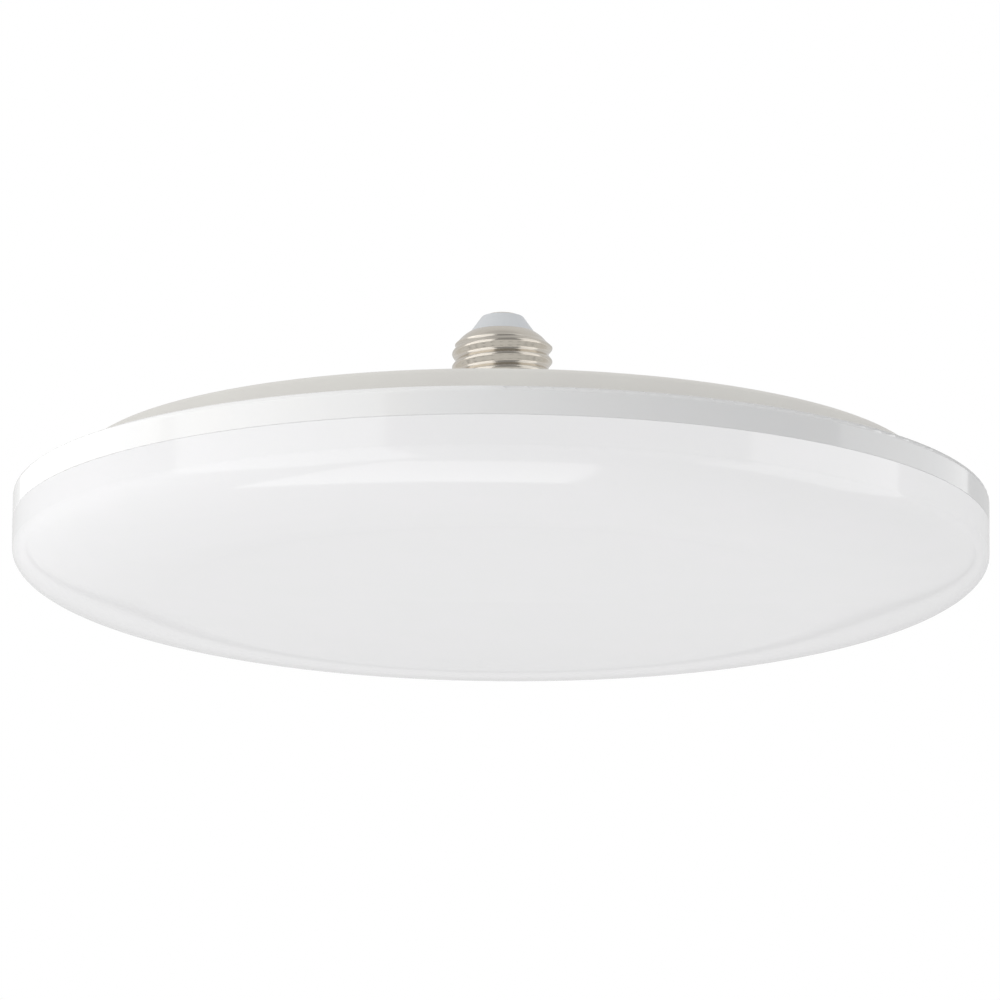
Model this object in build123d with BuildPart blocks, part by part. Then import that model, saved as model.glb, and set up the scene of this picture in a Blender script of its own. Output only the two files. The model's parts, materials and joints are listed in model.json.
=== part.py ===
from build123d import *
import os
from math import cos, pi, radians, sin, sqrt

os.makedirs("parts", exist_ok=True)

# A round flat lamp that hangs face down from its screw cap. The origin is on the
# axis at the lower edge of the screw shell, +Z points up into the lampholder,
# and every size is in millimetres.

# Screw cap: a medium Edison base with seven turns to the inch
crest_radius = 13.1
thread_depth = 1.0
thread_pitch = 25.4 / 7
crest_setback = 3.8
thread_fade = 1.2
skirt_height = 5.0
skirt_fade = 0.9
shell_height = 19.4
shell_wall = 0.35
shoulder_radius = 11.75
shoulder_bulge_radius = 10.45
shoulder_bulge_drop = 1.2
mouth_radius = 8.6
mouth_lip = 0.2
sections_per_turn = 8

# Insulator and end contact of the cap
insulator_rise = 4.5
insulator_tip_radius = 5.4
insulator_round = 0.6
insulator_flange_gap = 0.7
insulator_flange_drop = 1.3
insulator_flange_thickness = 2.8
contact_radius = 4.3
contact_rise = 0.45
stem_radius = 1.0
stem_tail = 0.7

# Disc outline
disc_radius = 127.0
neck_rise = 24.8
rim_height = 7.6
rim_wall = 2.0
rim_round = 1.5
ledge_width = 14.8
tier_draft = 2.0
tier_rise = 8.4
tier_round = 1.6
pan_rise = 1.3
pan_flat_radius = 66.0
pan_wall = 1.0
pan_bend = 0.6
pan_flange_inset = 7.5
shelf_gap = 0.9

# Diffuser
wall_drop = 7.6
corner_drop = 12.0
corner_inset = 40.0
face_dome = 0.4
diffuser_wall = 1.6
seam_chamfer = 0.12
skirt_clearance = 0.3
skirt_wall = 1.5
skirt_rise = 1.8
skirt_root_drop = 1.4

# Snap hooks on the skirt and the catch in the rim that they click over
hook_count = 8
hook_span = 7.0
hook_reach = 2.9
hook_overlap = 0.5
hook_bite_height = 0.5
hook_slope = 0.25
hook_clearance = 0.2

# Heat stakes that hold the pan and the spreader under the rim's shelf
stake_count = 8
stake_radius = 1.4
stake_head_radius = 2.3
stake_head_height = 1.2
stake_head_taper = 25
stake_clearance = 0.1

# Light engine
spreader_wall = 1.0
pad_thickness = 0.3
board_thickness = 1.2
board_margin = 12.0
led_rings = 4
leds_in_first_ring = 8
led_edge = 7.0
led_length = 3.5
led_width = 2.8
led_height = 0.7
led_window_length = 2.6
led_window_width = 2.1
led_window_depth = 0.4

# Terminal for the leads on the front of the board
connector_start = 11.0
connector_length = 7.0
connector_width = 9.0
connector_height = 3.4
connector_bevel = 0.3
release_setback = 4.9
release_length = 1.2
release_width = 1.8
release_depth = 0.6

# Fasteners
screw_radius = 1.5
screw_head_radius = 2.9
screw_head_height = 1.8
screw_head_round = 1.1
screw_clearance = 0.05
recess_length = 3.2
recess_width = 0.8
recess_depth = 1.0
nut_radius = 3.2
nut_height = 2.4
outer_nut_count = 6
inner_nut_count = 3

# Driver cup: cone, neck and the spigot that carries the screw shell
cup_radius = 50.0
cup_lip = 3.0
cup_wall = 2.0
neck_radius = 15.5
neck_straight = 2.6
neck_round = 0.8
neck_fillet = 6.0
lip_round = 1.0
spigot_clearance = 0.15
spigot_wall = 2.0
spigot_setback = 4.4
cup_screw_inset = 8.0
cup_screw_count = 3
cup_screw_bite = 3.0
boss_radius = 3.2
vent_count = 18
vent_width = 2.0
vent_length = 15.0
vent_radius = 32.0

# Driver board
pan_hole_inset = 13.0
driver_board_gap = 3.0
driver_board_thickness = 1.6
driver_board_standoff = 4.0
driver_post_inset = 6.0
driver_post_radius = 3.0
driver_post_count = 3
driver_screw_bite = 4.0
sheet_thickness = 0.4
sheet_margin = 6.0
seating_gap = 0.2

# Transformer
transformer_x = 6.0
transformer_y = -16.0
core_length = 14.0
core_width = 5.0
core_height = 11.0
core_yoke = 1.8
core_limb = 3.0
core_side = 1.7
bobbin_base = 1.2
bobbin_width = 12.0
bobbin_wall = 0.6
bobbin_flange = 0.6
winding_inset = 0.8
winding_round = 1.2

# Electrolytic capacitors
input_can_radius = 5.0
input_can_length = 16.0
input_can_x = 2.0
input_can_y = 18.0
output_can_radius = 4.0
output_can_length = 11.5
output_can_x = -17.0
output_can_y = -9.0
can_round = 0.6
can_groove_height = 1.8
can_groove_radius = 0.4
can_pin_spacing = 5.0

# Film capacitor and varistor
film_angle = 168
film_edge_inset = 9.5
film_length = 13.0
film_width = 5.5
film_height = 9.0
film_round = 0.8
varistor_angle = 32
varistor_edge_inset = 9.3
varistor_radius = 4.25
varistor_thickness = 3.2
varistor_round = 1.0
varistor_leg = 1.2
varistor_pin_spacing = 5.0

# Fuse resistor and output diode, which lie along Y
fuse_x = -12.0
fuse_y = 9.0
fuse_radius = 1.8
fuse_length = 7.0
fuse_waist = 0.3
fuse_end_length = 1.5
diode_post_offset = 5.0
diode_y = -17.5
diode_radius = 1.4
diode_length = 5.2

# Bridge rectifier, controller chip and their legs
rectifier_post_gap = 1.8
rectifier_y = -1.5
rectifier_length = 8.4
rectifier_width = 6.4
rectifier_height = 3.2
chip_x = -6.0
chip_y = -7.0
chip_length = 4.9
chip_width = 3.9
chip_height = 1.5
moulded_bevel = 0.3
leg_width = 0.6
leg_thickness = 0.3
leg_foot = 0.7

# Filter choke
choke_angle = -32.5
choke_edge_inset = 7.9
choke_radius = 4.5
choke_post_radius = 2.0
choke_height = 9.0
choke_flange = 1.4
choke_winding_inset = 0.5

# Component wires
pin_radius = 0.35
pin_reach = 1.6
pin_bend = 0.8

# Leads and the bush that lines their hole
lead_radius = 0.65
lead_pad_x = 5.0
lead_pad_y = 4.0
lead_pad_rise = 11.0
live_bend = 7.0
live_straight = 6.0
neutral_offset = 7.6
neutral_exit_drop = 2.4
neutral_bend = 6.0
neutral_end_bend = 2.2
dc_lead_offset = 2.2
dc_lead_drop = 1.8
dc_lead_bend = 2.6
dc_lead_plug_in = 2.0
bush_radius = 5.0
bush_wall = 1.4
bush_flange = 1.6
bush_flange_height = 1.0
bush_round = 0.5
bush_clearance = 0.1

# Heights worked out from the sizes above
top_crest = shell_height - crest_setback
spigot_height = shell_height - spigot_setback
neutral_height = spigot_height - neutral_exit_drop
insulator_top = shell_height + insulator_rise
insulator_flange_top = shell_height - insulator_flange_drop
insulator_flange_under = insulator_flange_top - insulator_flange_thickness
stem_under = insulator_flange_under - stem_tail
rim_top = -neck_rise
seam = rim_top - rim_height
shelf_under = rim_top - rim_wall
tier_top = rim_top + tier_rise
pan_top = tier_top + pan_rise
pan_under = pan_top - pan_wall
flange_under = shelf_under - pan_wall
spreader_under = flange_under - spreader_wall
board_back = spreader_under - pad_thickness
board_front = board_back - board_thickness
wall_end = seam - wall_drop
face_edge = wall_end - corner_drop
crown = face_edge - face_dome
skirt_top = seam + skirt_rise
skirt_root = seam - skirt_root_drop
hook_top = skirt_top + hook_reach
bite_under = hook_top - (hook_reach + hook_bite_height) / 2
bite_top = bite_under + hook_bite_height
catch_top = bite_under - hook_clearance
cup_lip_top = pan_top + cup_lip
driver_board_under = flange_under + driver_board_standoff
board_face = driver_board_under + driver_board_thickness
lead_rise_top = board_face + lead_pad_rise
dc_lead_height = board_front - dc_lead_drop

# Radii worked out from the sizes above
thread_radius = crest_radius - thread_depth / 2
thread_swing = thread_depth / 2
insulator_flange_radius = shoulder_radius - shell_wall - 3 * insulator_flange_gap
tier_base_radius = disc_radius - ledge_width
tier_top_radius = tier_base_radius - tier_draft
wall_foot_radius = tier_base_radius + tier_draft * rim_wall / tier_rise
flange_radius = disc_radius - pan_flange_inset
rim_bore = disc_radius - rim_wall
skirt_outer = rim_bore - skirt_clearance
skirt_inner = skirt_outer - skirt_wall
bite_radius = rim_bore + hook_overlap
catch_radius = bite_radius + hook_clearance
corner_radius = disc_radius - corner_inset
diffuser_bore = disc_radius - diffuser_wall
stake_ring = (wall_foot_radius + flange_radius) / 2
board_radius = flange_radius - board_margin
led_pitch = (board_radius - led_edge) / led_rings
outer_nut_ring = led_pitch * (led_rings - 0.5)
inner_nut_ring = led_pitch * (led_rings - 1.5)
spigot_radius = crest_radius - thread_depth - shell_wall - spigot_clearance
spigot_bore = spigot_radius - spigot_wall
pan_hole_radius = cup_radius - pan_hole_inset
cup_screw_ring = cup_radius - cup_screw_inset
driver_board_radius = pan_hole_radius - driver_board_gap
driver_post_ring = driver_board_radius - driver_post_inset
sheet_radius = driver_board_radius + sheet_margin
screw_hole = screw_radius + screw_clearance
lead_hole = bush_radius + bush_clearance
cup_slope = (cup_lip_top + neck_straight) / (cup_radius - neck_radius)
cup_screw_start = 180 / cup_screw_count

# Places of the parts that stand near the driver board's edge or beside its posts
film_x = (driver_board_radius - film_edge_inset) * cos(radians(film_angle))
film_y = (driver_board_radius - film_edge_inset) * sin(radians(film_angle))
varistor_ring = driver_board_radius - varistor_edge_inset
varistor_x = varistor_ring * cos(radians(varistor_angle))
varistor_y = varistor_ring * sin(radians(varistor_angle))
choke_x = (driver_board_radius - choke_edge_inset) * cos(radians(choke_angle))
choke_y = (driver_board_radius - choke_edge_inset) * sin(radians(choke_angle))
diode_x = driver_post_ring * cos(2 * pi / driver_post_count) + diode_post_offset
rectifier_x = driver_post_ring - driver_post_radius - rectifier_post_gap - rectifier_length / 2


def cup_surface(radius):
    """Height of the cup's outer cone at this radius."""
    return -neck_straight + cup_slope * (radius - neck_radius)


def rings(shape, radius, height):
    """Circular edges about the axis at this radius and height."""
    found = []
    for edge in shape.edges().filter_by(GeomType.CIRCLE):
        if abs(edge.radius - radius) < 0.01 and abs(edge.arc_center.Z - height) < 0.01:
            found.append(edge)
    return found


def threaded_column(inset):
    """Round column whose centre winds about the axis, which makes a knuckle thread."""
    turns_below = int((top_crest + shell_wall) / thread_pitch) + 2
    turns = turns_below + 2
    with BuildPart() as column:
        for step in range(turns * sections_per_turn + 1):
            turn = step / sections_per_turn
            angle = 2 * pi * turn
            with BuildSketch(Plane.XY.offset(top_crest + (turn - turns_below) * thread_pitch)):
                with Locations((thread_swing * cos(angle), thread_swing * sin(angle))):
                    Circle(thread_radius - inset)
        loft()
    return column.part


def shell_outline(inset, low):
    """Turned outline over the thread, which fades into a rounded shoulder at the top."""
    top = shell_height - inset
    fade_top = top_crest + thread_fade - inset / 2
    bulge_height = shell_height - shoulder_bulge_drop - inset * 0.7
    with BuildPart() as outline:
        with BuildSketch(Plane.XZ):
            with BuildLine():
                Polyline(
                    (0, top),
                    (0, low),
                    (crest_radius + thread_depth, low),
                    (crest_radius + thread_depth, top_crest - inset / 2),
                    (crest_radius - inset, top_crest - inset / 2),
                    (shoulder_radius - inset, fade_top),
                )
                ThreePointArc(
                    (shoulder_radius - inset, fade_top),
                    (shoulder_bulge_radius - inset * 0.7, bulge_height),
                    (mouth_radius + mouth_lip, top),
                )
                Line((mouth_radius + mouth_lip, top), (0, top))
            make_face()
        revolve(axis=Axis.Z)
    return outline.part


def shell_skirt(inset, low):
    """Plain skirt below the thread, with a cone that runs out into it."""
    root_radius = crest_radius - thread_depth - inset
    with BuildPart() as skirt:
        with BuildSketch(Plane.XZ):
            with BuildLine():
                Polyline(
                    (0, low),
                    (crest_radius - inset, low),
                    (crest_radius - inset, skirt_height - inset),
                    (root_radius, skirt_height + skirt_fade - inset),
                    (0, skirt_height + skirt_fade - inset),
                    close=True,
                )
            make_face()
        revolve(axis=Axis.Z)
    return skirt.part


def shell_solid(inset, low):
    """Everything inside the shell's outer face, or inside its bore at the wall's inset."""
    return (threaded_column(inset) & shell_outline(inset, low)) + shell_skirt(inset, low)


def pan_screw(shank_length):
    """Cross-recessed pan head screw, shank up, with the seat of its head at height 0."""
    with BuildPart() as screw:
        with BuildSketch():
            Circle(screw_radius)
        extrude(amount=shank_length)
        chamfer(screw.edges().filter_by(GeomType.CIRCLE).sort_by(Axis.Z)[-1], screw_radius / 2)
        with BuildSketch():
            Circle(screw_head_radius)
        extrude(amount=-screw_head_height)
        fillet(screw.edges().filter_by(GeomType.CIRCLE).sort_by(Axis.Z)[0], screw_head_round)
        with BuildSketch(Plane.XY.offset(-screw_head_height)):
            Rectangle(recess_length, recess_width)
            Rectangle(recess_width, recess_length)
        extrude(amount=recess_depth, mode=Mode.SUBTRACT)
    return screw.part


def wire(points, bends, radius):
    """Round wire along straight runs joined by arcs."""
    start = Vector(points[0])
    heading = (Vector(points[1]) - start).normalized()
    with BuildPart() as run:
        with BuildLine() as route:
            FilletPolyline(*points, radius=bends)
        with BuildSketch(Plane(origin=start, z_dir=heading)):
            Circle(radius)
        sweep()
    return run.part


def can(radius, length):
    """Capacitor can with its seal end at height 0 and a groove rolled in above it."""
    with BuildPart() as body:
        with BuildSketch():
            Circle(radius)
        extrude(amount=length)
        fillet(body.edges().filter_by(GeomType.CIRCLE), can_round)
        with BuildSketch(Plane.XZ):
            with Locations((radius, can_groove_height)):
                Circle(can_groove_radius)
        revolve(axis=Axis.Z, mode=Mode.SUBTRACT)
    return body.part


def save(builder, label):
    """Name the finished piece and write it out."""
    builder.part.label = label
    export_step(builder.part, f"parts/{label}.step")


# Screw shell: thin pressed metal, open at the bottom and round the insulator
shell_outside = shell_solid(0, 0)
shell_inside = shell_solid(shell_wall, -shell_wall)
with BuildPart() as screw_shell:
    add(shell_outside)
    add(shell_inside, mode=Mode.SUBTRACT)
    with BuildSketch(Plane.XY.offset(insulator_flange_top)):
        Circle(mouth_radius)
    extrude(amount=shell_height, mode=Mode.SUBTRACT)
save(screw_shell, "screw_shell")

# Cap insulator: a cone that stands out of the shell's mouth and a flange inside it
with BuildPart() as cap_insulator:
    with BuildSketch(Plane.XZ):
        with BuildLine():
            Polyline(
                (stem_radius + screw_clearance, insulator_top),
                (stem_radius + screw_clearance, insulator_flange_under),
                (insulator_flange_radius, insulator_flange_under),
                (insulator_flange_radius, insulator_flange_top),
                (mouth_radius, insulator_flange_top),
                (mouth_radius, shell_height),
                (insulator_tip_radius, insulator_top),
                close=True,
            )
        make_face()
    revolve(axis=Axis.Z)
    fillet(rings(cap_insulator.part, insulator_tip_radius, insulator_top), insulator_round)
save(cap_insulator, "cap_insulator")

# Centre contact: a shallow button on a stem that runs down through the insulator
with BuildPart() as centre_contact:
    with BuildSketch(Plane.XY.offset(stem_under)):
        Circle(stem_radius)
    extrude(amount=insulator_top - stem_under)
    with BuildSketch(Plane.XY.offset(insulator_top)):
        Circle(contact_radius)
    extrude(amount=contact_rise)
    chamfer(rings(centre_contact.part, contact_radius, insulator_top + contact_rise), contact_rise * 0.7)
save(centre_contact, "centre_contact")

# Rim ring: glossy outer band with an inward shelf, the hooks' catch and the heat stakes
with BuildPart() as rim_ring:
    with BuildSketch(Plane.XZ):
        with BuildLine():
            Polyline(
                (disc_radius, seam),
                (disc_radius, rim_top),
                (wall_foot_radius + shelf_gap, rim_top),
                (wall_foot_radius + shelf_gap, shelf_under),
                (catch_radius, shelf_under),
                (catch_radius, catch_top),
                (rim_bore, catch_top - hook_slope),
                (rim_bore, seam),
                close=True,
            )
        make_face()
    revolve(axis=Axis.Z)
    fillet(rings(rim_ring.part, disc_radius, rim_top), rim_round)
    chamfer(rings(rim_ring.part, disc_radius, seam), seam_chamfer)
    with BuildSketch(Plane.XY.offset(shelf_under)):
        with PolarLocations(stake_ring, stake_count):
            Circle(stake_radius)
    extrude(amount=spreader_under - shelf_under)
    with BuildSketch(Plane.XY.offset(spreader_under)):
        with PolarLocations(stake_ring, stake_count):
            Circle(stake_head_radius)
    extrude(amount=-stake_head_height, taper=stake_head_taper)
save(rim_ring, "rim_ring")

# Back pan: pressed sheet metal with a flange under the rim's shelf and the stepped tier
with BuildPart() as back_pan:
    with BuildSketch(Plane.XZ):
        with BuildLine():
            Polyline(
                (flange_radius, shelf_under),
                (wall_foot_radius, shelf_under),
                (tier_top_radius, tier_top),
                (pan_flat_radius, pan_top),
                (pan_hole_radius, pan_top),
                (pan_hole_radius, pan_under),
                (pan_flat_radius, pan_under),
                (tier_top_radius - pan_wall, tier_top - pan_wall),
                (wall_foot_radius - pan_wall, flange_under),
                (flange_radius, flange_under),
                close=True,
            )
        make_face()
    revolve(axis=Axis.Z)
    fillet(rings(back_pan.part, wall_foot_radius, shelf_under), pan_bend)
    fillet(rings(back_pan.part, tier_top_radius, tier_top), tier_round)
    fillet(rings(back_pan.part, tier_top_radius - pan_wall, tier_top - pan_wall), tier_round - pan_wall)
    with BuildSketch(Plane.XY.offset(flange_under)):
        with PolarLocations(stake_ring, stake_count):
            Circle(stake_radius + stake_clearance)
    extrude(amount=pan_wall, mode=Mode.SUBTRACT)
    with BuildSketch(Plane.XY.offset(pan_under)):
        with PolarLocations(cup_screw_ring, cup_screw_count, start_angle=cup_screw_start):
            Circle(screw_hole)
    extrude(amount=pan_wall, mode=Mode.SUBTRACT)
save(back_pan, "back_pan")

# Diffuser: upright wall, wide elliptical corner, nearly flat face and the skirt behind the rim
with BuildPart() as diffuser:
    with BuildSketch(Plane.XZ):
        with BuildLine():
            Polyline(
                (diffuser_bore, wall_end),
                (diffuser_bore, skirt_root - (diffuser_bore - skirt_inner)),
                (skirt_inner, skirt_root),
                (skirt_inner, skirt_top),
                (skirt_outer, skirt_top),
                (skirt_outer, seam),
                (disc_radius, seam),
                (disc_radius, wall_end),
            )
            EllipticalCenterArc((corner_radius, wall_end), corner_inset, corner_drop, -90, arc_size=90)
            TangentArc((0, crown), (corner_radius, face_edge), tangent=(1, 0))
            Line((0, crown), (0, crown + diffuser_wall))
            TangentArc(
                (0, crown + diffuser_wall),
                (corner_radius, face_edge + diffuser_wall),
                tangent=(1, 0),
            )
            EllipticalCenterArc(
                (corner_radius, wall_end),
                corner_inset - diffuser_wall,
                corner_drop - diffuser_wall,
                -90,
                arc_size=90,
            )
        make_face()
    revolve(axis=Axis.Z)
    chamfer(rings(diffuser.part, disc_radius, seam), seam_chamfer)
save(diffuser, "diffuser")

# Diffuser hooks: short arcs that stand on the skirt and flex inwards past the catch
with BuildPart() as hook:
    with BuildSketch(Plane.XZ):
        with BuildLine():
            Polyline(
                (skirt_inner, skirt_top),
                (skirt_outer, skirt_top),
                (skirt_outer, bite_under - hook_slope),
                (bite_radius, bite_under),
                (bite_radius, bite_top),
                (skirt_outer - hook_slope, hook_top),
                (skirt_inner, hook_top),
                close=True,
            )
        make_face()
    revolve(axis=Axis.Z, revolution_arc=hook_span)
with BuildPart() as diffuser_hooks:
    with PolarLocations(0, hook_count):
        add(hook.part)
save(diffuser_hooks, "diffuser_hooks")

# Heat spreader: flat plate behind the board, staked under the pan's flange
with BuildPart() as heat_spreader:
    with BuildSketch(Plane.XY.offset(spreader_under)):
        Circle(flange_radius)
        Circle(lead_hole, mode=Mode.SUBTRACT)
        with PolarLocations(stake_ring, stake_count):
            Circle(stake_radius + stake_clearance, mode=Mode.SUBTRACT)
        with PolarLocations(outer_nut_ring, outer_nut_count):
            Circle(screw_hole, mode=Mode.SUBTRACT)
        with PolarLocations(inner_nut_ring, inner_nut_count):
            Circle(screw_hole, mode=Mode.SUBTRACT)
    extrude(amount=spreader_wall)
save(heat_spreader, "heat_spreader")

# Clinch nuts: round nuts pressed on the back of the spreader
with BuildPart() as clinch_nuts:
    with BuildSketch(Plane.XY.offset(flange_under)):
        with PolarLocations(outer_nut_ring, outer_nut_count):
            Circle(nut_radius)
            Circle(screw_hole, mode=Mode.SUBTRACT)
        with PolarLocations(inner_nut_ring, inner_nut_count):
            Circle(nut_radius)
            Circle(screw_hole, mode=Mode.SUBTRACT)
    extrude(amount=nut_height)
save(clinch_nuts, "clinch_nuts")

# Thermal pad and the round board that carries the light sources
for label, low, thickness in (
    ("thermal_pad", board_back, pad_thickness),
    ("led_board", board_front, board_thickness),
):
    with BuildPart() as layer:
        with BuildSketch(Plane.XY.offset(low)):
            Circle(board_radius)
            Circle(lead_hole, mode=Mode.SUBTRACT)
            with PolarLocations(outer_nut_ring, outer_nut_count):
                Circle(screw_hole, mode=Mode.SUBTRACT)
            with PolarLocations(inner_nut_ring, inner_nut_count):
                Circle(screw_hole, mode=Mode.SUBTRACT)
        extrude(amount=thickness)
    save(layer, label)

# Light sources: white packages in rings, each with a window of phosphor
first_led_angle = 180 / leds_in_first_ring
with BuildPart() as led_packages:
    for ring in range(1, led_rings + 1):
        with BuildSketch(Plane.XY.offset(board_front)):
            with PolarLocations(led_pitch * ring, leds_in_first_ring * ring, start_angle=first_led_angle):
                Rectangle(led_width, led_length)
                Rectangle(led_window_width, led_window_length, mode=Mode.SUBTRACT)
        extrude(amount=-led_height)
        with BuildSketch(Plane.XY.offset(board_front)):
            with PolarLocations(led_pitch * ring, leds_in_first_ring * ring, start_angle=first_led_angle):
                Rectangle(led_window_width, led_window_length)
        extrude(amount=led_window_depth - led_height)
save(led_packages, "led_packages")

with BuildPart() as led_phosphors:
    for ring in range(1, led_rings + 1):
        with BuildSketch(Plane.XY.offset(board_front - led_height)):
            with PolarLocations(led_pitch * ring, leds_in_first_ring * ring, start_angle=first_led_angle):
                Rectangle(led_window_width, led_window_length)
        extrude(amount=led_window_depth)
save(led_phosphors, "led_phosphors")

# Board screws: through the board, pad and spreader into the clinch nuts
board_screw = pan_screw(flange_under + nut_height - board_front)
with BuildPart(Plane.XY.offset(board_front)) as board_screws:
    with PolarLocations(outer_nut_ring, outer_nut_count):
        add(board_screw)
    with PolarLocations(inner_nut_ring, inner_nut_count):
        add(board_screw)
save(board_screws, "board_screws")

# Lead bush: lines the lead hole, with a flange under the board
with BuildPart() as lead_bush:
    with BuildSketch(Plane.XY.offset(board_front)):
        Circle(bush_radius)
        Circle(bush_radius - bush_wall, mode=Mode.SUBTRACT)
    extrude(amount=flange_under + sheet_thickness - board_front)
    with BuildSketch(Plane.XY.offset(board_front)):
        Circle(bush_radius + bush_flange)
        Circle(bush_radius - bush_wall, mode=Mode.SUBTRACT)
    extrude(amount=-bush_flange_height)
    fillet(rings(lead_bush.part, bush_radius + bush_flange, board_front - bush_flange_height), bush_round)
save(lead_bush, "lead_bush")

# Terminal on the front of the board, with an entry and a release slot for each lead
release_y = connector_start + release_setback
with BuildPart() as led_connector:
    with BuildSketch(Plane.XY.offset(board_front)):
        with Locations((0, connector_start + connector_length / 2)):
            Rectangle(connector_width, connector_length)
    extrude(amount=-connector_height)
    chamfer(led_connector.edges().group_by(Axis.Z)[0], connector_bevel)
    with BuildSketch(Plane.XZ.offset(-connector_start)):
        with Locations((-dc_lead_offset, dc_lead_height), (dc_lead_offset, dc_lead_height)):
            Circle(lead_radius + screw_clearance)
    extrude(amount=-dc_lead_plug_in, mode=Mode.SUBTRACT)
    with BuildSketch(Plane.XY.offset(board_front - connector_height)):
        with Locations((-dc_lead_offset, release_y), (dc_lead_offset, release_y)):
            Rectangle(release_width, release_length)
    extrude(amount=release_depth, mode=Mode.SUBTRACT)
save(led_connector, "led_connector")

# Driver cup: lip and cone on the pan, neck, spigot, bosses for its screws and board posts
inner_cone_edge = cup_radius - cup_wall
with BuildPart() as driver_cup:
    with BuildSketch(Plane.XZ):
        with BuildLine():
            Polyline(
                (spigot_bore, spigot_height),
                (spigot_radius, spigot_height),
                (spigot_radius, 0),
                (neck_radius, 0),
                (neck_radius, -neck_straight),
                (cup_radius, cup_lip_top),
                (cup_radius, pan_top),
                (inner_cone_edge, pan_top),
                (inner_cone_edge, cup_surface(inner_cone_edge) - cup_wall),
                (spigot_bore, cup_surface(spigot_bore) - cup_wall),
                close=True,
            )
        make_face()
    revolve(axis=Axis.Z)
    fillet(rings(driver_cup.part, neck_radius, 0), neck_round)
    fillet(rings(driver_cup.part, neck_radius, -neck_straight), neck_fillet)
    fillet(rings(driver_cup.part, cup_radius, cup_lip_top), lip_round)
    with BuildSketch(Plane.XY.offset(board_face)):
        with PolarLocations(driver_post_ring, driver_post_count):
            Circle(driver_post_radius)
    extrude(amount=cup_surface(driver_post_ring) - cup_wall / 2 - board_face)
    with BuildSketch(Plane.XY.offset(pan_top)):
        with PolarLocations(cup_screw_ring, cup_screw_count, start_angle=cup_screw_start):
            Circle(boss_radius)
    extrude(amount=cup_surface(cup_screw_ring) - cup_wall / 2 - pan_top)
    with BuildSketch(Plane.XY.offset(board_face)):
        with PolarLocations(driver_post_ring, driver_post_count):
            Circle(screw_hole)
    extrude(amount=driver_screw_bite + screw_clearance, mode=Mode.SUBTRACT)
    with BuildSketch(Plane.XY.offset(pan_top)):
        with PolarLocations(cup_screw_ring, cup_screw_count, start_angle=cup_screw_start):
            Circle(screw_hole)
    extrude(amount=cup_screw_bite + screw_clearance, mode=Mode.SUBTRACT)
    with BuildSketch(Plane.XY.offset(pan_top)):
        with PolarLocations(vent_radius, vent_count, start_angle=180 / vent_count):
            SlotOverall(vent_length, vent_width)
    extrude(amount=-pan_top, mode=Mode.SUBTRACT)
    with BuildSketch(Plane.XY.offset(spigot_height)):
        with Locations((-(spigot_bore + spigot_radius) / 2, 0)):
            Rectangle(spigot_wall * 2, 2 * (lead_radius + bush_clearance))
    extrude(amount=neutral_height - lead_radius - bush_clearance - spigot_height, mode=Mode.SUBTRACT)
save(driver_cup, "driver_cup")

# Cup screws: from inside, through the pan into the cup's bosses
cup_screw = pan_screw(pan_wall + cup_screw_bite)
with BuildPart(Plane.XY.offset(pan_under)) as cup_screws:
    with PolarLocations(cup_screw_ring, cup_screw_count, start_angle=cup_screw_start):
        add(cup_screw)
save(cup_screws, "cup_screws")

# Insulating sheet on the spreader, under the driver board
with BuildPart() as insulating_sheet:
    with BuildSketch(Plane.XY.offset(flange_under)):
        Circle(sheet_radius)
        Circle(lead_hole, mode=Mode.SUBTRACT)
    extrude(amount=sheet_thickness)
save(insulating_sheet, "insulating_sheet")

# Driver board and the screws that hold it up against the cup's posts
with BuildPart() as driver_board:
    with BuildSketch(Plane.XY.offset(driver_board_under)):
        Circle(driver_board_radius)
        with PolarLocations(driver_post_ring, driver_post_count):
            Circle(screw_hole, mode=Mode.SUBTRACT)
    extrude(amount=driver_board_thickness)
save(driver_board, "driver_board")

driver_screw = pan_screw(driver_board_thickness + driver_screw_bite)
with BuildPart(Plane.XY.offset(driver_board_under)) as driver_screws:
    with PolarLocations(driver_post_ring, driver_post_count):
        add(driver_screw)
save(driver_screws, "driver_screws")

# Transformer: core, bobbin on its base, winding round the middle limb
core_under = board_face + bobbin_base
window_under = core_under + core_yoke
window_height = core_height - 2 * core_yoke
window_width = (core_length - core_limb) / 2 - core_side
window_offset = (core_limb + window_width) / 2
tube_length = core_limb + 2 * (bobbin_wall + seating_gap)
tube_width = core_width + 2 * (bobbin_wall + seating_gap)
flange_length = core_limb + 2 * window_width - 2 * seating_gap
rest_width = (bobbin_width - core_width) / 2 - seating_gap
with BuildPart() as transformer_core:
    with BuildSketch(Plane.XZ.offset(-transformer_y - core_width / 2)):
        with Locations((transformer_x, core_under + core_height / 2)):
            Rectangle(core_length, core_height)
            with Locations((-window_offset, 0), (window_offset, 0)):
                Rectangle(window_width, window_height, mode=Mode.SUBTRACT)
    extrude(amount=core_width)
save(transformer_core, "transformer_core")

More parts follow.
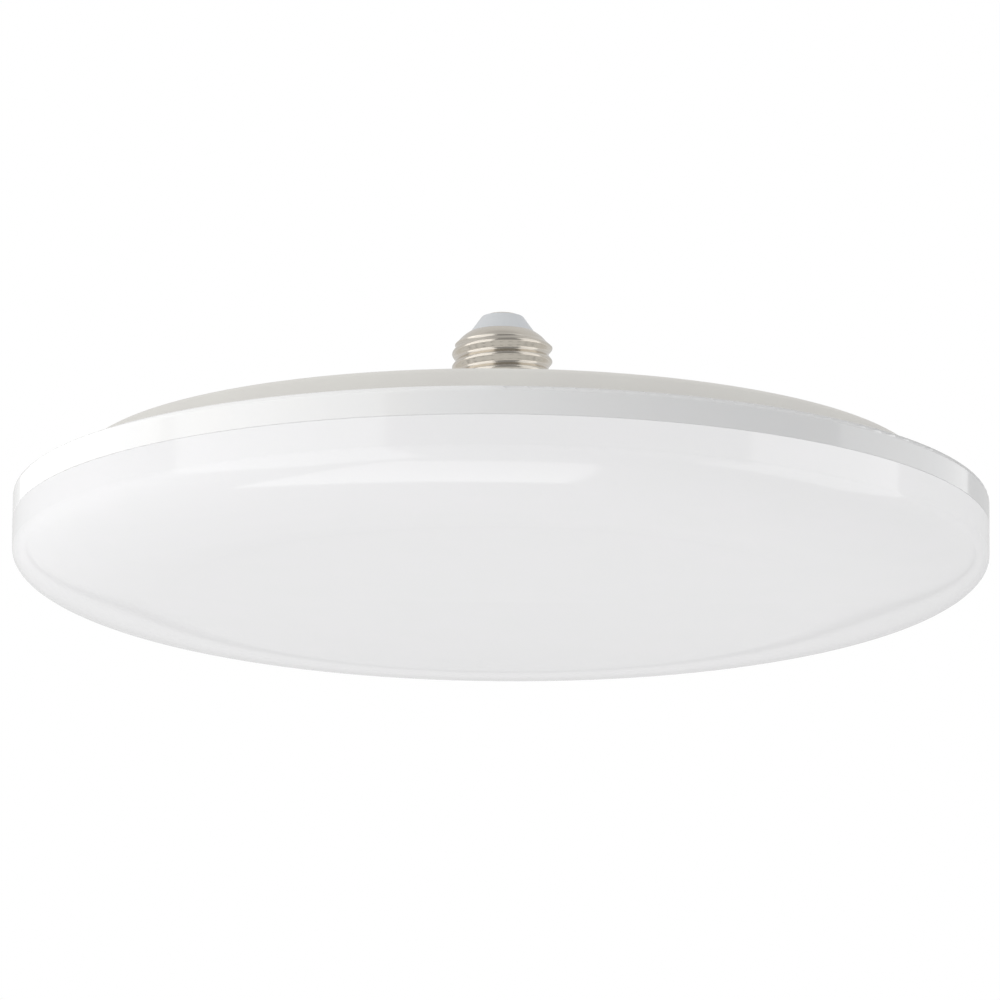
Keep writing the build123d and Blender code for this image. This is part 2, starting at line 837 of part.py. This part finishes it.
with BuildPart() as transformer_bobbin:
    with BuildSketch(Plane.XY.offset(board_face)):
        with Locations((transformer_x, transformer_y)):
            Rectangle(core_length, bobbin_width)
    extrude(amount=bobbin_base)
    for side in (-1, 1):
        with BuildSketch(Plane.XY.offset(core_under)):
            with Locations((transformer_x, transformer_y + side * (bobbin_width - rest_width) / 2)):
                Rectangle(flange_length, rest_width)
        extrude(amount=core_yoke + seating_gap)
    for low in (window_under + seating_gap, window_under + window_height - seating_gap - bobbin_flange):
        with BuildSketch(Plane.XY.offset(low)):
            with Locations((transformer_x, transformer_y)):
                Rectangle(flange_length, bobbin_width)
        extrude(amount=bobbin_flange)
    with BuildSketch(Plane.XY.offset(window_under + seating_gap)):
        with Locations((transformer_x, transformer_y)):
            Rectangle(tube_length, tube_width)
    extrude(amount=window_height - 2 * seating_gap)
    with BuildSketch(Plane.XY.offset(window_under)):
        with Locations((transformer_x, transformer_y)):
            Rectangle(core_limb + 2 * seating_gap, core_width + 2 * seating_gap)
    extrude(amount=window_height, mode=Mode.SUBTRACT)
save(transformer_bobbin, "transformer_bobbin")

with BuildPart() as transformer_winding:
    with BuildSketch(Plane.XY.offset(window_under + seating_gap + bobbin_flange)):
        with Locations((transformer_x, transformer_y)):
            RectangleRounded(flange_length - winding_inset, bobbin_width - winding_inset, winding_round)
            Rectangle(tube_length, tube_width, mode=Mode.SUBTRACT)
    extrude(amount=window_height - 2 * (seating_gap + bobbin_flange))
save(transformer_winding, "transformer_winding")

# Electrolytic capacitors: the input one lies on the board, the output one stands
input_seal_x = input_can_x - input_can_length / 2
input_axis_height = board_face + input_can_radius + seating_gap
input_seal = Plane((input_seal_x, input_can_y, input_axis_height), x_dir=(0, 1, 0), z_dir=(1, 0, 0))
with BuildPart(input_seal) as input_capacitor:
    add(can(input_can_radius, input_can_length))
save(input_capacitor, "input_capacitor")

with BuildPart(Plane((output_can_x, output_can_y, board_face))) as output_capacitor:
    add(can(output_can_radius, output_can_length))
save(output_capacitor, "output_capacitor")

# Film capacitor: boxed, standing on the board
with BuildPart() as film_capacitor:
    with BuildSketch(Plane.XY.offset(board_face)):
        with Locations((film_x, film_y)):
            RectangleRounded(film_width, film_length, film_round)
    extrude(amount=film_height)
    fillet(film_capacitor.faces().sort_by(Axis.Z)[-1].edges(), film_round * 0.9)
save(film_capacitor, "film_capacitor")

# Varistor: coated disc that stands on two wires and faces the board's edge
varistor_centre = board_face + varistor_leg + varistor_radius
varistor_pin_inner = varistor_pin_spacing / 2 - pin_radius
varistor_pin_top = varistor_centre - sqrt(varistor_radius**2 - varistor_pin_inner**2)
varistor_plane = Plane(
    origin=(varistor_x, varistor_y, varistor_centre),
    x_dir=(0, 0, 1),
    z_dir=(varistor_x, varistor_y, 0),
)
with BuildPart(varistor_plane) as varistor:
    Cylinder(varistor_radius, varistor_thickness)
    fillet(varistor.edges().filter_by(GeomType.CIRCLE), varistor_round)
save(varistor, "varistor")

# Fuse resistor and output diode: axial parts that lie on the board
fuse_axis_height = board_face + fuse_radius + seating_gap
with BuildPart(Plane((fuse_x, fuse_y, fuse_axis_height), z_dir=(0, 1, 0))) as fuse_resistor:
    Cylinder(fuse_radius - fuse_waist, fuse_length)
    for side in (-1, 1):
        with Locations((0, 0, side * (fuse_length - fuse_end_length) / 2)):
            Cylinder(fuse_radius, fuse_end_length)
    fillet(fuse_resistor.faces().filter_by(GeomType.PLANE).edges(), fuse_waist * 0.4)
save(fuse_resistor, "fuse_resistor")

diode_axis_height = board_face + diode_radius + seating_gap
with BuildPart(Plane((diode_x, diode_y, diode_axis_height), z_dir=(0, 1, 0))) as output_diode:
    Cylinder(diode_radius, diode_length)
    fillet(output_diode.edges().filter_by(GeomType.CIRCLE), diode_radius * 0.2)
save(output_diode, "output_diode")

# Bridge rectifier and controller chip: moulded bodies with a bevelled top
for label, x, y, length, width, height in (
    ("bridge_rectifier", rectifier_x, rectifier_y, rectifier_length, rectifier_width, rectifier_height),
    ("driver_chip", chip_x, chip_y, chip_length, chip_width, chip_height),
):
    with BuildPart() as moulded:
        with BuildSketch(Plane.XY.offset(board_face)):
            with Locations((x, y)):
                Rectangle(length, width)
        extrude(amount=height)
        chamfer(moulded.faces().sort_by(Axis.Z)[-1].edges(), moulded_bevel)
    save(moulded, label)

# Filter choke: drum core with its winding
choke_window_height = choke_height - 2 * choke_flange
with BuildPart() as choke_core:
    with BuildSketch(Plane.XY.offset(board_face)):
        with Locations((choke_x, choke_y)):
            Circle(choke_post_radius)
    extrude(amount=choke_height)
    for low in (board_face, board_face + choke_height - choke_flange):
        with BuildSketch(Plane.XY.offset(low)):
            with Locations((choke_x, choke_y)):
                Circle(choke_radius)
        extrude(amount=choke_flange)
save(choke_core, "choke_core")

with BuildPart() as choke_winding:
    with BuildSketch(Plane.XY.offset(board_face + choke_flange)):
        with Locations((choke_x, choke_y)):
            Circle(choke_radius - choke_winding_inset)
            Circle(choke_post_radius, mode=Mode.SUBTRACT)
    extrude(amount=choke_window_height)
save(choke_winding, "choke_winding")

# Component pins: legs of the rectifier and chip, and the wires of the other parts
with BuildPart() as component_pins:
    for x, y, length, width, height, count in (
        (rectifier_x, rectifier_y, rectifier_length, rectifier_width, rectifier_height, 2),
        (chip_x, chip_y, chip_length, chip_width, chip_height, 4),
    ):
        for side in (-1, 1):
            with BuildSketch(Plane.XY.offset(board_face)):
                with Locations((x, y + side * (width + leg_thickness) / 2)):
                    with GridLocations(length / count, 0, count, 1):
                        Rectangle(leg_width, leg_thickness)
            extrude(amount=height / 2)
            with BuildSketch(Plane.XY.offset(board_face)):
                with Locations((x, y + side * (width / 2 + leg_thickness + leg_foot / 2))):
                    with GridLocations(length / count, 0, count, 1):
                        Rectangle(leg_width, leg_foot)
            extrude(amount=leg_thickness)
    with BuildSketch(Plane.XY.offset(board_face)):
        with PolarLocations(varistor_ring, 1, start_angle=varistor_angle):
            with Locations((0, -varistor_pin_spacing / 2), (0, varistor_pin_spacing / 2)):
                Circle(pin_radius)
    extrude(amount=varistor_pin_top - board_face)
    for side in (-1, 1):
        pin_y = input_can_y + side * can_pin_spacing / 2
        add(
            wire(
                (
                    (input_seal_x, pin_y, input_axis_height),
                    (input_seal_x - pin_reach, pin_y, input_axis_height),
                    (input_seal_x - pin_reach, pin_y, board_face),
                ),
                pin_bend,
                pin_radius,
            )
        )
        for x, y, half_length, axis_height in (
            (fuse_x, fuse_y, fuse_length / 2, fuse_axis_height),
            (diode_x, diode_y, diode_length / 2, diode_axis_height),
        ):
            add(
                wire(
                    (
                        (x, y + side * half_length, axis_height),
                        (x, y + side * (half_length + pin_reach), axis_height),
                        (x, y + side * (half_length + pin_reach), board_face),
                    ),
                    pin_bend,
                    pin_radius,
                )
            )
save(component_pins, "component_pins")

# Live lead: from the foot of the contact's stem down the neck to the driver board
live_route = (
    (0, 0, stem_under),
    (0, 0, stem_under - live_straight * 2),
    (lead_pad_x, lead_pad_y, lead_rise_top),
    (lead_pad_x, lead_pad_y, board_face),
)
with BuildPart() as live_lead:
    add(wire(live_route, live_bend, lead_radius))
save(live_lead, "live_lead")

# Neutral lead: from the driver board up the neck and out through the spigot's notch
neutral_route = (
    (-lead_pad_x, lead_pad_y, board_face),
    (-lead_pad_x, lead_pad_y, lead_rise_top),
    (-neutral_offset, 0, 0),
    (-neutral_offset, 0, neutral_height),
    (-spigot_radius, 0, neutral_height),
)
with BuildPart() as neutral_lead:
    add(wire(neutral_route, (neutral_bend, neutral_bend, neutral_end_bend), lead_radius))
save(neutral_lead, "neutral_lead")

# Leads from the driver board down through the bush to the terminal
for label, offset in (("dc_lead_positive", dc_lead_offset), ("dc_lead_negative", -dc_lead_offset)):
    dc_route = (
        (offset, 0, driver_board_under),
        (offset, 0, dc_lead_height),
        (offset, connector_start + dc_lead_plug_in, dc_lead_height),
    )
    with BuildPart() as dc_lead:
        add(wire(dc_route, dc_lead_bend, lead_radius))
    save(dc_lead, label)
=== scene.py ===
import bpy
import json
from math import cos, pi, radians, sin
from mathutils import Euler, Matrix, Vector

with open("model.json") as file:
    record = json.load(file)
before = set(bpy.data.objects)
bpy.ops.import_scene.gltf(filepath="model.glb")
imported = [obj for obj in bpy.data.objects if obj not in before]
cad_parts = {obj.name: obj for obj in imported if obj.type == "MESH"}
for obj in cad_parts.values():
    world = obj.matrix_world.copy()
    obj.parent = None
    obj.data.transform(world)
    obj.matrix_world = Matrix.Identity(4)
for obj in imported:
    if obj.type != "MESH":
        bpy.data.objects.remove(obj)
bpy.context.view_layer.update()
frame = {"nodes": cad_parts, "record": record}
scene = bpy.context.scene
scene.view_settings.view_transform = "Standard"
print("frame loaded:", len(frame["nodes"]), "nodes")


def clearSelection():
    if bpy.context.object and bpy.context.object.mode != "OBJECT":
        bpy.ops.object.mode_set(mode="OBJECT")
    bpy.ops.object.select_all(action="DESELECT")


# Camera: a long lens from far away, below the lamp and in front of it, level to half a degree
cameraSet = {
    "elevation": -13.0,
    "distance": 3.0,
    "lens": 414.9,
    "aim": (-0.0003, 0.0, -0.02513),
    "roll": 0.457,
    "sensor": 36,
    "near": 0.1,
    "far": 60,
}


def placeCamera(c):
    tilt = radians(c["elevation"])
    aim = Vector(c["aim"])
    bpy.ops.object.camera_add(location=aim + c["distance"] * Vector((0, -cos(tilt), sin(tilt))))
    camera = bpy.context.object
    camera.name = "photoCamera"
    turned = Euler((pi / 2 - tilt, 0, 0)).to_matrix() @ Matrix.Rotation(radians(c["roll"]), 3, "Z")
    camera.rotation_euler = turned.to_euler()
    camera.data.lens = c["lens"]
    camera.data.sensor_width = c["sensor"]
    camera.data.clip_start = c["near"]
    camera.data.clip_end = c["far"]
    scene.camera = camera


clearSelection()
placeCamera(cameraSet)
print("camera placed")


# Room: even light on matt surfaces. Shiny ones see a dim front, a brighter back and a pale ground
# with a thin dim line at its far edge, and the camera sees white.
roomSet = {
    "light": (1, 1, 1, 1),
    "lightLevel": 0.9,
    "frontLevel": 0.3,
    "backLevel": 0.7,
    "groundLevel": 0.79,
    "lineLevel": 0.5,
    "lineHeight": -0.18,
    "lineHalf": 0.018,
    "lineCore": 0.4,
    "lineFrom": 0.8,
    "lineFull": 0.9,
    "wallBlend": 0.3,
    "groundFrom": -0.02,
    "groundFull": -0.1,
}


def rangeOf(tree, value, fromLow, fromHigh, low, high):
    spread = tree.nodes.new("ShaderNodeMapRange")
    for socket, number in zip(("From Min", "From Max", "To Min", "To Max"), (fromLow, fromHigh, low, high)):
        spread.inputs[socket].default_value = number
    tree.links.new(value, spread.inputs["Value"])
    return spread.outputs["Result"]


def mathOf(tree, operation, first, second):
    step = tree.nodes.new("ShaderNodeMath")
    step.operation = operation
    for socket, value in zip(step.inputs, (first, second)):
        if isinstance(value, (int, float)):
            socket.default_value = value
        else:
            tree.links.new(value, socket)
    return step.outputs[0]


def backgroundOf(tree, colour, level):
    background = tree.nodes.new("ShaderNodeBackground")
    background.inputs["Color"].default_value = colour
    if isinstance(level, (int, float)):
        background.inputs["Strength"].default_value = level
    else:
        tree.links.new(level, background.inputs["Strength"])
    return background.outputs[0]


def mixOf(tree, factor, first, second):
    mix = tree.nodes.new("ShaderNodeMixShader")
    tree.links.new(factor, mix.inputs["Fac"])
    tree.links.new(first, mix.inputs[1])
    tree.links.new(second, mix.inputs[2])
    return mix.outputs[0]


def makeRoom(s):
    world = bpy.data.worlds.new("studio")
    scene.world = world
    world.use_nodes = True
    tree = world.node_tree
    tree.nodes.clear()
    coord = tree.nodes.new("ShaderNodeTexCoord")
    axes = tree.nodes.new("ShaderNodeSeparateXYZ")
    tree.links.new(coord.outputs["Generated"], axes.inputs[0])
    walls = rangeOf(
        tree, axes.outputs["Y"], -s["wallBlend"], s["wallBlend"], s["frontLevel"], s["backLevel"]
    )
    fromLine = mathOf(tree, "ABSOLUTE", mathOf(tree, "SUBTRACT", axes.outputs["Z"], s["lineHeight"]), 0)
    dip = s["groundLevel"] - s["lineLevel"]
    atBack = rangeOf(tree, axes.outputs["Y"], s["lineFrom"], s["lineFull"], 0, dip)
    core = s["lineHalf"] * s["lineCore"]
    line = mathOf(tree, "MULTIPLY", rangeOf(tree, fromLine, core, s["lineHalf"], 1, 0), atBack)
    ground = mathOf(tree, "SUBTRACT", s["groundLevel"], line)
    below = rangeOf(tree, axes.outputs["Z"], s["groundFrom"], s["groundFull"], 0, 1)
    low = mathOf(tree, "MULTIPLY", ground, below)
    high = mathOf(tree, "MULTIPLY", walls, mathOf(tree, "SUBTRACT", 1, below))
    path = tree.nodes.new("ShaderNodeLightPath")
    even = backgroundOf(tree, s["light"], s["lightLevel"])
    mirrored = backgroundOf(tree, (1, 1, 1, 1), mathOf(tree, "ADD", low, high))
    white = backgroundOf(tree, (1, 1, 1, 1), 1.0)
    seen = mathOf(tree, "MAXIMUM", path.outputs["Is Camera Ray"], path.outputs["Is Transmission Ray"])
    output = tree.nodes.new("ShaderNodeOutputWorld")
    inside = mixOf(tree, path.outputs["Is Glossy Ray"], even, mirrored)
    tree.links.new(mixOf(tree, seen, inside, white), output.inputs[0])


# Floor far below the lamp, seen only from above, where it keeps the lamp's shadow
floorSet = {"height": -1.6, "size": 40, "colour": (0.92, 0.92, 0.92, 1), "lift": 0.14}


def makeFloor(s):
    bpy.ops.mesh.primitive_plane_add(size=s["size"], location=(0, 0, s["height"]))
    floor = bpy.context.object
    floor.name = "studioFloor"
    material = bpy.data.materials.new("paleFloor")
    material.use_nodes = True
    tree = material.node_tree
    tree.nodes.clear()
    path = tree.nodes.new("ShaderNodeLightPath")
    side = tree.nodes.new("ShaderNodeNewGeometry")
    paint = tree.nodes.new("ShaderNodeBsdfDiffuse")
    paint.inputs["Color"].default_value = s["colour"]
    lift = tree.nodes.new("ShaderNodeEmission")
    toCamera = mathOf(tree, "MULTIPLY", path.outputs["Is Camera Ray"], s["lift"])
    tree.links.new(toCamera, lift.inputs["Strength"])
    lifted = tree.nodes.new("ShaderNodeAddShader")
    tree.links.new(paint.outputs[0], lifted.inputs[0])
    tree.links.new(lift.outputs[0], lifted.inputs[1])
    clear = tree.nodes.new("ShaderNodeBsdfTransparent")
    output = tree.nodes.new("ShaderNodeOutputMaterial")
    oneSided = mixOf(tree, side.outputs["Backfacing"], lifted.outputs[0], clear.outputs[0])
    tree.links.new(oneSided, output.inputs[0])
    floor.data.materials.append(material)
    floor.visible_glossy = False


# Lamps of the studio. Azimuth runs from the camera's side to the left, and a side is left or
# right of a panel's middle, and low or high, as the slope of the line of sight. A level is the
# radiance of a panel, or what a fill gives a white surface that faces it.
everything = sorted(frame["nodes"])
capMetal = ["screw_shell", "centre_contact"]
opalPieces = ["diffuser", "diffuser_hooks"]
rimPieces = ["rim_ring"]
otherPieces = [name for name in everything if name not in opalPieces + rimPieces]

panelLights = {
    "leftPanel": {"azimuth": 54, "right": -0.51, "left": 0.53, "low": -2.2, "high": 0.8, "level": 1.1,
                  "on": opalPieces},
    "leftPanelLow": {"azimuth": 54, "right": -0.57, "left": 0.53, "low": -2.2, "high": -0.05, "level": 0.45,
                     "on": opalPieces},
    "leftPanelRim": {"azimuth": 54, "right": -0.51, "left": 0.53, "low": -0.5, "high": 0.8, "level": 0.9,
                     "on": rimPieces},
    "rightPanel": {"azimuth": -80, "right": -0.5, "left": 0.36, "low": -1.0, "high": 0.8, "level": 0.9,
                   "on": opalPieces},
    "rightPanelLow": {"azimuth": -80, "right": -0.45, "left": 0.56, "low": -1.0, "high": -0.3, "level": 0.5,
                      "on": opalPieces},
    "rightPanelRim": {"azimuth": -112, "right": -0.6, "left": 0.49, "low": -0.5, "high": 0.8, "level": 1.0,
                      "on": rimPieces},
    "leftEndRim": {"azimuth": 122, "right": -0.7, "left": 0.7, "low": -0.5, "high": 0.8, "level": 0.8,
                   "on": rimPieces},
    "capLeftPanel": {"azimuth": 57, "right": -0.71, "left": 0.73, "low": -0.9, "high": 2.2, "level": 0.9,
                     "on": capMetal},
    "capRightPanel": {"azimuth": -71, "right": -0.47, "left": 0.47, "low": -0.9, "high": 2.2, "level": 0.7,
                      "on": capMetal},
}
cardLights = {
    "underCard": {"at": (-0.10, 0.31), "width": 0.49, "depth": 0.82, "turn": 10, "level": 1.1,
                  "on": opalPieces},
}
fillLights = {
    "rimKey": {"azimuth": 75, "elevation": 8, "level": 0.735, "colour": (1, 0.985, 0.96), "on": rimPieces},
    "otherKey": {"azimuth": 75, "elevation": 8, "level": 0.19, "colour": (1, 0.985, 0.96), "on": otherPieces},
}
nearLights = {
    "lowLeftFill": {"at": (-0.8, -0.1, -0.35), "width": 0.4, "height": 0.4, "level": 2.6, "on": opalPieces},
}


def lightOnly(lamp, names):
    group = bpy.data.collections.new(lamp.name + "Pieces")
    for name in names:
        group.objects.link(frame["nodes"][name])
    lamp.light_linking.receiver_collection = group


def facing(azimuth, elevation):
    turn, rise = radians(azimuth), radians(elevation)
    return Vector((-sin(turn) * cos(rise), -cos(turn) * cos(rise), sin(rise)))


def finishLamp(lamp, name, s, inDiffuse, inGloss):
    lamp.name = name
    lamp.visible_camera = False
    lamp.visible_transmission = False
    lamp.visible_diffuse = inDiffuse
    lamp.visible_glossy = inGloss
    lamp.data.color = s.get("colour", (1, 1, 1))
    if "on" in s:
        lightOnly(lamp, s["on"])


lampDistance = 15.0
fillSpread = 40  # degrees of sky that a fill's sun covers


def makePanel(name, s):
    middle = facing(s["azimuth"], 0)
    along = Vector((middle.y, -middle.x, 0))
    across = (s["left"] + s["right"]) / 2
    height = (s["low"] + s["high"]) / 2
    place = lampDistance * (middle + across * along + Vector((0, 0, height)))
    bpy.ops.object.light_add(type="AREA", location=place)
    lamp = bpy.context.object
    lamp.rotation_euler = middle.to_track_quat("Z", "Y").to_euler()
    lamp.data.shape = "RECTANGLE"
    lamp.data.size = lampDistance * (s["left"] - s["right"])
    lamp.data.size_y = lampDistance * (s["high"] - s["low"])
    lamp.data.energy = s["level"] * pi * lamp.data.size * lamp.data.size_y
    finishLamp(lamp, name, s, False, True)


def makeCard(name, s):
    bpy.ops.object.light_add(type="AREA", location=lampDistance * Vector((*s["at"], -1)))
    lamp = bpy.context.object
    lamp.rotation_euler = (pi, 0, radians(s["turn"]))
    lamp.data.shape = "RECTANGLE"
    lamp.data.size = lampDistance * s["width"]
    lamp.data.size_y = lampDistance * s["depth"]
    lamp.data.energy = s["level"] * pi * lamp.data.size * lamp.data.size_y
    finishLamp(lamp, name, s, False, True)


def makeFill(name, s):
    bpy.ops.object.light_add(type="SUN")
    lamp = bpy.context.object
    lamp.rotation_euler = facing(s["azimuth"], s["elevation"]).to_track_quat("Z", "Y").to_euler()
    lamp.data.angle = radians(fillSpread)
    lamp.data.energy = s["level"] * pi
    finishLamp(lamp, name, s, True, False)


def makeNearLight(name, s):
    place = Vector(s["at"])
    bpy.ops.object.light_add(type="AREA", location=place)
    lamp = bpy.context.object
    lamp.rotation_euler = place.to_track_quat("Z", "Y").to_euler()
    lamp.data.shape = "RECTANGLE"
    lamp.data.size = s["width"]
    lamp.data.size_y = s["height"]
    lamp.data.energy = s["level"] * pi * s["width"] * s["height"]
    finishLamp(lamp, name, s, True, False)


clearSelection()
makeRoom(roomSet)
makeFloor(floorSet)
for lights, maker in (
    (panelLights, makePanel), (cardLights, makeCard), (fillLights, makeFill), (nearLights, makeNearLight),
):
    for lampName, lampSet in lights.items():
        maker(lampName, lampSet)
print("studio lit")


# Finishes
def startFinish(name):
    material = bpy.data.materials.new(name)
    material.use_nodes = True
    tree = material.node_tree
    coord = tree.nodes.new("ShaderNodeTexCoord")
    return material, tree, coord.outputs["Object"], tree.nodes["Principled BSDF"]


def noiseOf(tree, point, scale, detail=3, roughness=0.55):
    noise = tree.nodes.new("ShaderNodeTexNoise")
    noise.inputs["Scale"].default_value = scale
    noise.inputs["Detail"].default_value = detail
    noise.inputs["Roughness"].default_value = roughness
    tree.links.new(point, noise.inputs["Vector"])
    return noise.outputs["Fac"]


# Noise keeps to the middle of its range, so that much of it is spread over the values asked for
noiseRange = (0.3, 0.7)
waveRange = (0.1, 0.9)


def spreadOf(tree, value, low, high, fromRange=noiseRange):
    return rangeOf(tree, value, *fromRange, low, high)


def blendOf(tree, factor, first, second):
    blend = tree.nodes.new("ShaderNodeMix")
    blend.data_type = "RGBA"  # its two colours are inputs 6 and 7, and their blend is output 2
    blend.inputs[6].default_value = (*first, 1)
    blend.inputs[7].default_value = (*second, 1)
    tree.links.new(factor, blend.inputs[0])
    return blend.outputs[2]


def bumpOf(tree, height, strength, distance):
    bump = tree.nodes.new("ShaderNodeBump")
    bump.inputs["Strength"].default_value = strength
    bump.inputs["Distance"].default_value = distance
    tree.links.new(height, bump.inputs["Height"])
    return bump.outputs["Normal"]


def waveOf(tree, point, s):
    wave = tree.nodes.new("ShaderNodeTexWave")
    wave.wave_type = s["kind"]
    if s["kind"] == "RINGS":
        wave.rings_direction = s["axis"]
    else:
        wave.bands_direction = s["axis"]
    wave.inputs["Scale"].default_value = s["scale"]
    wave.inputs["Distortion"].default_value = s.get("distortion", 0.2)
    tree.links.new(point, wave.inputs["Vector"])
    return wave.outputs["Fac"]


# What a finish has unless it says otherwise
usualFinish = {
    "mottleScale": 60,
    "grainScale": 2500,
    "bump": 0.1,
    "bumpDepth": 0.00002,
    "metallic": 0,
    "ior": 1.49,
}


def plainFinish(name, own):
    s = {**usualFinish, **own}
    material, tree, point, shader = startFinish(name)
    links = tree.links
    mottle = noiseOf(tree, point, s["mottleScale"])
    grain = noiseOf(tree, point, s["grainScale"], 2)
    pattern, height = spreadOf(tree, mottle, 0, 1), grain
    if "wave" in s:
        height = waveOf(tree, point, s["wave"])
        pattern = spreadOf(tree, height, 0, 1, waveRange)
    links.new(blendOf(tree, pattern, s["colour"], s["shade"]), shader.inputs["Base Color"])
    links.new(spreadOf(tree, grain, *s["roughness"]), shader.inputs["Roughness"])
    links.new(bumpOf(tree, height, s["bump"], s["bumpDepth"]), shader.inputs["Normal"])
    shader.inputs["Metallic"].default_value = s["metallic"]
    shader.inputs["IOR"].default_value = s["ior"]
    return material


# The LED board shows its copper as faint rings, the green board its tracks, the winding its turns
# and the pressed dish its turning marks
finishes = {
    "rim_white": {"colour": (0.69, 0.69, 0.69), "shade": (0.68, 0.685, 0.69), "roughness": (0.07, 0.12)},
    "opal": {"colour": (0.93, 0.925, 0.935), "shade": (0.92, 0.92, 0.925), "roughness": (0.06, 0.10)},
    "pan_paint": {"colour": (0.73, 0.72, 0.685), "shade": (0.715, 0.70, 0.67), "roughness": (0.4, 0.5),
                  "grainScale": 1400, "bump": 0.25},
    "cup_white": {"colour": (0.80, 0.80, 0.79), "shade": (0.78, 0.78, 0.77), "roughness": (0.3, 0.4)},
    "shell_nickel": {"colour": (0.72, 0.67, 0.60), "shade": (0.68, 0.64, 0.57), "roughness": (0.16, 0.24),
                     "metallic": 1},
    "cap_glass": {"colour": (0.62, 0.64, 0.66), "shade": (0.58, 0.60, 0.63), "roughness": (0.15, 0.25)},
    "contact_metal": {"colour": (0.76, 0.72, 0.64), "shade": (0.66, 0.62, 0.55), "roughness": (0.22, 0.36),
                      "metallic": 1},
    "spreader_aluminium": {"colour": (0.83, 0.84, 0.85), "shade": (0.76, 0.77, 0.79),
                           "roughness": (0.28, 0.42), "metallic": 1,
                           "wave": {"kind": "RINGS", "axis": "Z", "scale": 260, "distortion": 1.5}},
    "fastener_steel": {"colour": (0.62, 0.62, 0.61), "shade": (0.53, 0.53, 0.52), "roughness": (0.22, 0.4),
                       "metallic": 1, "mottleScale": 500},
    "pad_grey": {"colour": (0.62, 0.64, 0.66), "shade": (0.55, 0.57, 0.60), "roughness": (0.75, 0.9),
                 "mottleScale": 220, "bump": 0.3},
    "solder_mask_white": {"colour": (0.93, 0.93, 0.92), "shade": (0.89, 0.89, 0.88),
                          "roughness": (0.32, 0.42),
                          "wave": {"kind": "RINGS", "axis": "Z", "scale": 12.5}},
    "led_body": {"colour": (0.92, 0.92, 0.90), "shade": (0.86, 0.86, 0.84), "roughness": (0.35, 0.5)},
    "led_phosphor": {"colour": (0.93, 0.80, 0.25), "shade": (0.88, 0.70, 0.16), "roughness": (0.45, 0.6),
                     "mottleScale": 1800, "bump": 0.3},
    "terminal_white": {"colour": (0.90, 0.90, 0.86), "shade": (0.85, 0.85, 0.81), "roughness": (0.35, 0.5)},
    "bush_black": {"colour": (0.08, 0.08, 0.08), "shade": (0.05, 0.05, 0.05), "roughness": (0.6, 0.75)},
    "sheet_film": {"colour": (0.88, 0.88, 0.84), "shade": (0.82, 0.82, 0.77), "roughness": (0.25, 0.4),
                   "mottleScale": 120},
    "circuit_green": {"colour": (0.10, 0.33, 0.20), "shade": (0.07, 0.25, 0.15), "roughness": (0.22, 0.36),
                      "wave": {"kind": "BANDS", "axis": "DIAGONAL", "scale": 90, "distortion": 9}},
    "moulded_black": {"colour": (0.06, 0.06, 0.06), "shade": (0.04, 0.04, 0.045), "roughness": (0.45, 0.6)},
    "bobbin_black": {"colour": (0.10, 0.10, 0.10), "shade": (0.07, 0.07, 0.075), "roughness": (0.4, 0.55)},
    "tinned_wire": {"colour": (0.75, 0.75, 0.73), "shade": (0.66, 0.66, 0.64), "roughness": (0.2, 0.35),
                    "metallic": 1, "mottleScale": 700},
    "ferrite": {"colour": (0.12, 0.12, 0.13), "shade": (0.08, 0.08, 0.09), "roughness": (0.55, 0.75),
                "mottleScale": 900, "bump": 0.35},
    "winding_tape": {"colour": (0.90, 0.75, 0.20), "shade": (0.82, 0.66, 0.15), "roughness": (0.25, 0.4),
                     "mottleScale": 180},
    "copper_wire": {"colour": (0.72, 0.38, 0.20), "shade": (0.42, 0.19, 0.09), "roughness": (0.22, 0.36),
                    "metallic": 1, "bump": 0.8, "bumpDepth": 0.0001,
                    "wave": {"kind": "BANDS", "axis": "Z", "scale": 600}},
    "can_sleeve": {"colour": (0.10, 0.12, 0.22), "shade": (0.07, 0.08, 0.16), "roughness": (0.22, 0.34)},
    "film_box": {"colour": (0.85, 0.72, 0.20), "shade": (0.78, 0.64, 0.15), "roughness": (0.35, 0.5)},
    "varistor_blue": {"colour": (0.10, 0.25, 0.60), "shade": (0.07, 0.19, 0.50), "roughness": (0.2, 0.34)},
    "resistor_body": {"colour": (0.45, 0.60, 0.50), "shade": (0.38, 0.52, 0.43), "roughness": (0.35, 0.5)},
    "lead_black": {"colour": (0.05, 0.05, 0.05), "shade": (0.035, 0.035, 0.035), "roughness": (0.4, 0.55)},
    "lead_white": {"colour": (0.90, 0.90, 0.88), "shade": (0.84, 0.84, 0.81), "roughness": (0.4, 0.55)},
    "lead_red": {"colour": (0.70, 0.08, 0.06), "shade": (0.58, 0.05, 0.04), "roughness": (0.4, 0.55)},
}
built = {name: plainFinish(name, s) for name, s in finishes.items()}
slotOf = {part["node"]: part["material_slot"] for part in frame["record"]["subparts"]}
for nodeName, node in frame["nodes"].items():
    node.data.materials.clear()
    node.data.materials.append(built[slotOf[nodeName]])
print("finishes ready")
